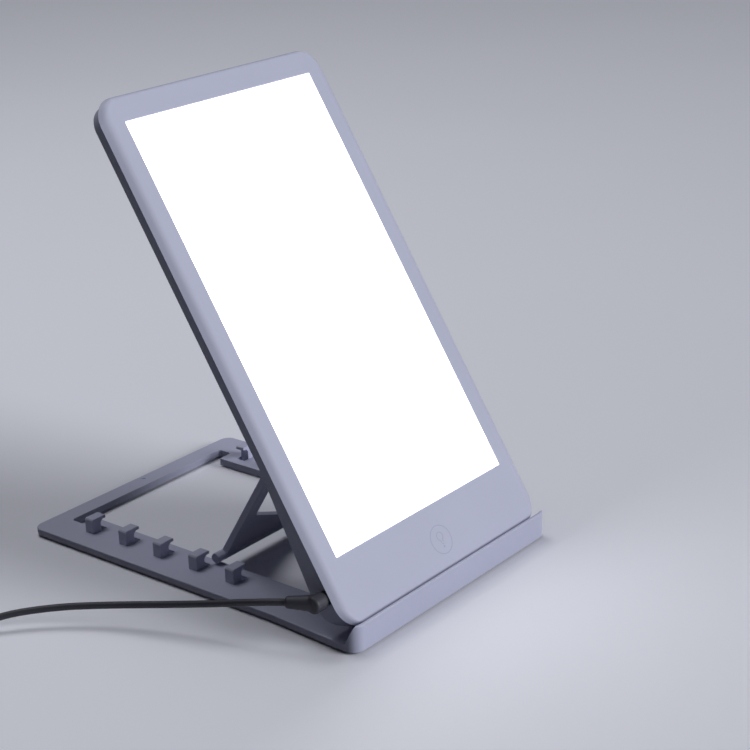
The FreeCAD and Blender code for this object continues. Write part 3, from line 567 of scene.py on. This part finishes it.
def noise(tree, vector, scale, detail, roughness=0.55):
    node = tree.nodes.new("ShaderNodeTexNoise")
    node.inputs["Detail"].default_value = detail
    node.inputs["Roughness"].default_value = roughness
    tree.links.new(vector, node.inputs["Vector"])
    tree.links.new(scale, node.inputs["Scale"])
    return node.outputs["Fac"]


# Moulded grain: fine pits and soft clouds of tone
grainValues = {"Grain Scale": 1800.0, "Cloud Scale": 14.0}
grainMasks = {"Cloud": "NodeSocketFloat", "Pits": "NodeSocketFloat"}
grainGroup, grainIn, grainOut = newGroup("mouldedGrain", grainValues, grainMasks)
place = grainGroup.nodes.new("ShaderNodeTexCoord").outputs["Object"]
cloud = noise(grainGroup, place, grainIn.outputs["Cloud Scale"], detail=4.0)
pits = noise(grainGroup, place, grainIn.outputs["Grain Scale"], detail=2.0, roughness=0.6)
grainGroup.links.new(cloud, grainOut.inputs["Cloud"])
grainGroup.links.new(pits, grainOut.inputs["Pits"])

# Dust: a mask that is strongest on faces that look up, broken by noise
dustValues = {"Amount": 0.3, "Scale": 60.0}
dustGroup, dustIn, dustOut = newGroup("restingDust", dustValues, {"Mask": "NodeSocketFloat"})
place = dustGroup.nodes.new("ShaderNodeTexCoord").outputs["Object"]
facing = dustGroup.nodes.new("ShaderNodeSeparateXYZ")
dustGroup.links.new(dustGroup.nodes.new("ShaderNodeNewGeometry").outputs["Normal"], facing.inputs[0])
upward = mathNode(dustGroup, "POWER", mathNode(dustGroup, "MAXIMUM", facing.outputs["Z"], 0.0), 2.0)
broken = noise(dustGroup, place, dustIn.outputs["Scale"], detail=6.0, roughness=0.7)
speck = mathNode(dustGroup, "MULTIPLY", broken, upward)
film = mathNode(dustGroup, "MULTIPLY", speck, dustIn.outputs["Amount"], clamp=True)
dustGroup.links.new(film, dustOut.inputs["Mask"])
dustColour = (0.42, 0.41, 0.42)
pitDepth = 0.02  # mm


def material(name, dark, light, roughness, grain=1800.0, cloudScale=14.0, bump=0.05, dust=0.0, metallic=0.0,
             **fixed):
    # a moulded finish: two near tones mixed by clouds, roughness that follows them, and fine pits
    made = bpy.data.materials.new(name)
    made.use_nodes = True
    tree = made.node_tree
    shader = tree.nodes["Principled BSDF"]
    group = tree.nodes.new("ShaderNodeGroup")
    group.node_tree = grainGroup
    group.inputs["Grain Scale"].default_value = grain
    group.inputs["Cloud Scale"].default_value = cloudScale
    tone = tree.nodes.new("ShaderNodeMix")
    tone.data_type = "RGBA"
    tone.inputs["A"].default_value = (*dark, 1)
    tone.inputs["B"].default_value = (*light, 1)
    tree.links.new(group.outputs["Cloud"], tone.inputs["Factor"])
    colour = tone.outputs["Result"]
    if dust:
        film = tree.nodes.new("ShaderNodeGroup")
        film.node_tree = dustGroup
        film.inputs["Amount"].default_value = dust
        over = tree.nodes.new("ShaderNodeMix")
        over.data_type = "RGBA"
        over.inputs["B"].default_value = (*dustColour, 1)
        tree.links.new(film.outputs["Mask"], over.inputs["Factor"])
        tree.links.new(colour, over.inputs["A"])
        colour = over.outputs["Result"]
    tree.links.new(colour, shader.inputs["Base Color"])
    spread = mathNode(tree, "MULTIPLY", group.outputs["Cloud"], roughness[1] - roughness[0])
    tree.links.new(mathNode(tree, "ADD", spread, roughness[0], clamp=True), shader.inputs["Roughness"])
    relief = tree.nodes.new("ShaderNodeBump")
    relief.inputs["Strength"].default_value = bump
    relief.inputs["Distance"].default_value = pitDepth * mm
    tree.links.new(group.outputs["Pits"], relief.inputs["Height"])
    tree.links.new(relief.outputs["Normal"], shader.inputs["Normal"])
    shader.inputs["Metallic"].default_value = metallic
    for label, value in fixed.items():
        shader.inputs[label.replace("_", " ")].default_value = value
    return made


def metal(name, dark, light, roughness, grain):
    # the same finish on bare metal
    return material(name, dark, light, roughness, grain, metallic=1.0)


def dress(target, made):
    # one finish over the whole piece
    target.data.materials.clear()
    target.data.materials.append(made)


plastic = material("lampPlastic", (0.475, 0.487, 0.606), (0.535, 0.548, 0.677), (0.52, 0.62), bump=0.25)
underPlastic = material("framePlastic", (0.47, 0.482, 0.618), (0.54, 0.553, 0.70), (0.38, 0.5), bump=0.3,
                        dust=0.08)
finishes = {
    "base_feet": material("footRubber", (0.012, 0.012, 0.014), (0.03, 0.03, 0.034), (0.7, 0.9), 900.0,
                          bump=0.5),
    "tilt_pins": metal("turnedSteel", (0.36, 0.37, 0.39), (0.5, 0.51, 0.53), (0.22, 0.38), 2600.0),
    "friction_washers": material("nylonWasher", (0.70, 0.70, 0.64), (0.82, 0.82, 0.76), (0.3, 0.45)),
    "panel_screws": metal("zincScrew", (0.34, 0.35, 0.37), (0.48, 0.48, 0.5), (0.25, 0.42), 2200.0),
    "reflector_sheet": material("whiteFilm", (0.86, 0.86, 0.86), (0.92, 0.92, 0.92), (0.3, 0.4)),
    "diffuser_gasket": material("foamGasket", (0.015, 0.015, 0.016), (0.04, 0.04, 0.042), (0.85, 0.98), 700.0,
                                bump=0.9),
    "led_strips": material("stripMask", (0.78, 0.78, 0.76), (0.86, 0.86, 0.84), (0.3, 0.42)),
    "led_chips": material("phosphor", (0.74, 0.5, 0.06), (0.9, 0.66, 0.12), (0.25, 0.4)),
    "led_carriers": metal("drawnAluminium", (0.5, 0.51, 0.53), (0.62, 0.63, 0.65), (0.28, 0.42), 1500.0),
    "driver_board": material("solderMask", (0.008, 0.07, 0.03), (0.015, 0.1, 0.045), (0.22, 0.34), 500.0,
                             cloudScale=90.0),
    "driver_components": material("partMoulding", (0.008, 0.008, 0.009), (0.03, 0.03, 0.032), (0.4, 0.6)),
    "strip_leads": material("redLead", (0.3, 0.006, 0.005), (0.42, 0.012, 0.01), (0.35, 0.5)),
    "dc_jack": material("jackMoulding", (0.008, 0.008, 0.009), (0.022, 0.022, 0.024), (0.35, 0.5)),
    "touch_header": material("headerMoulding", (0.01, 0.01, 0.011), (0.024, 0.024, 0.026), (0.4, 0.55)),
    "leg_pins": metal("pinSteel", (0.36, 0.37, 0.39), (0.5, 0.51, 0.53), (0.22, 0.36), 2600.0),
    "plug_barrel": metal("platedBrass", (0.55, 0.55, 0.52), (0.66, 0.66, 0.63), (0.16, 0.28), 2600.0),
    "adapter_case": material("adapterCase", (0.012, 0.012, 0.014), (0.026, 0.026, 0.03), (0.42, 0.58), 1300.0,
                             bump=0.5, dust=0.05),
    "adapter_prongs": metal("nickelPlate", (0.5, 0.49, 0.46), (0.62, 0.61, 0.58), (0.18, 0.32), 1800.0),
}
finishes["touch_board"] = finishes["driver_board"]
finishes["adapter_board"] = finishes["driver_board"]
finishes["adapter_components"] = finishes["driver_components"]
finishes["adapter_cover"] = finishes["adapter_case"]
finishes["adapter_relief"] = finishes["adapter_case"]
finishes["light_guide"] = material(
    "guideAcrylic", (0.93, 0.95, 0.97), (0.97, 0.98, 0.99), (0.03, 0.08), IOR=1.49, Transmission_Weight=0.9)
finishes["diffuser"] = material(
    "opalDiffuser", (0.9, 0.91, 0.93), (0.94, 0.95, 0.97), (0.42, 0.52), 2400.0, bump=0.1,
    Emission_Color=(1, 1, 1, 1), Emission_Strength=2.0)
for name, made in finishes.items():
    dress(nodes[name], made)
jacket = material("cordJacket", (0.028, 0.028, 0.038), (0.040, 0.040, 0.053), (0.46, 0.6), 1600.0,
                  cloudScale=40.0, bump=0.3)
strap = material("strapWeave", (0.008, 0.008, 0.01), (0.022, 0.022, 0.026), (0.75, 0.95), 1400.0, bump=0.9)
ink = material("printedInk", (0.36, 0.375, 0.515), (0.415, 0.43, 0.575), (0.4, 0.5), cloudScale=420.0)
dress(cord, jacket)
dress(plugPiece, jacket)
dress(cordTie, strap)
dress(frontBezel, plastic)
dress(touchMark, ink)
dress(soft["rear_shell"], plastic)
for node in ("base_frame", "stop_rack_left", "stop_rack_right", "leg_frame"):
    dress(soft[node], underPlastic)
print("finishes made")

# Table, lamps and world
studio = {
    "floorHalf": 9.0,
    "floorColour": (0.92, 0.92, 0.98),
    "bounceColour": (0.16, 0.165, 0.19),  # what the floor gives back to its surroundings
    "keyFrom": (0.3, -0.93, 0.4),
    "keyAngle": 30.0,
    "keyStrength": 2.36,
    "keyColour": (0.93, 0.95, 1.0),
    "topPlace": (0.1, 0.72, 1.8),
    "topTarget": (0, 0, 0.05),
    "topSize": 1.0,
    "topPower": 12.0,
    "worldColour": (0.80, 0.82, 0.92),
    "worldStrength": 0.04,
}
floorMesh = bpy.data.meshes.new("floor")
floorCorners = np.array([(-1, -1, 0), (1, -1, 0), (1, 1, 0), (-1, 1, 0)]) * studio["floorHalf"]
floorMesh.from_pydata(floorCorners.tolist(), [], [(0, 1, 2, 3)])
floor = bpy.data.objects.new("floor", floorMesh)
bpy.context.collection.objects.link(floor)
floorFinish = material("tablePale", studio["floorColour"], studio["floorColour"], (0.5, 0.6), 300.0,
                       cloudScale=3.0)
tree = floorFinish.node_tree
seen = tree.nodes.new("ShaderNodeMix")
seen.data_type = "RGBA"
seen.inputs["A"].default_value = (*studio["bounceColour"], 1)
seen.inputs["B"].default_value = (*studio["floorColour"], 1)
rays = tree.nodes.new("ShaderNodeLightPath").outputs
sharpRay = mathNode(tree, "MAXIMUM", rays["Is Glossy Ray"], rays["Is Transmission Ray"])
tree.links.new(mathNode(tree, "MAXIMUM", rays["Is Camera Ray"], sharpRay), seen.inputs["Factor"])
tree.links.new(seen.outputs["Result"], tree.nodes["Principled BSDF"].inputs["Base Color"])
dress(floor, floorFinish)


def placeLamp(data, lampPlace, target):
    # a lamp shines along its own -Z, so that axis points from its place to the target
    lamp = bpy.data.objects.new(data.name, data)
    back = np.array(lampPlace) - np.array(target)
    back = back / np.linalg.norm(back)
    nearlyUp = (0, 0.01, 1)
    right = np.cross(nearlyUp, back)
    right = right / np.linalg.norm(right)
    matrix = np.eye(4)
    matrix[:3, :3] = np.c_[right, np.cross(back, right), back]
    matrix[:3, 3] = lampPlace
    lamp.matrix_world = Matrix(matrix.tolist())
    bpy.context.collection.objects.link(lamp)


keyLamp = bpy.data.lights.new("keyLamp", "SUN")
keyLamp.energy = studio["keyStrength"]
keyLamp.angle = math.radians(studio["keyAngle"])
keyLamp.color = studio["keyColour"]
placeLamp(keyLamp, studio["keyFrom"], (0, 0, 0))
topLamp = bpy.data.lights.new("topLamp", "AREA")
topLamp.shape = "SQUARE"
topLamp.size = studio["topSize"]
topLamp.energy = studio["topPower"]
topLamp.color = studio["keyColour"]
placeLamp(topLamp, studio["topPlace"], studio["topTarget"])
world = bpy.data.worlds.new("studio")
world.use_nodes = True
sky = world.node_tree.nodes["Background"]
sky.inputs["Color"].default_value = (*studio["worldColour"], 1)
sky.inputs["Strength"].default_value = studio["worldStrength"]
bpy.context.scene.world = world
bpy.context.scene.view_settings.view_transform = "Standard"
print("studio set")
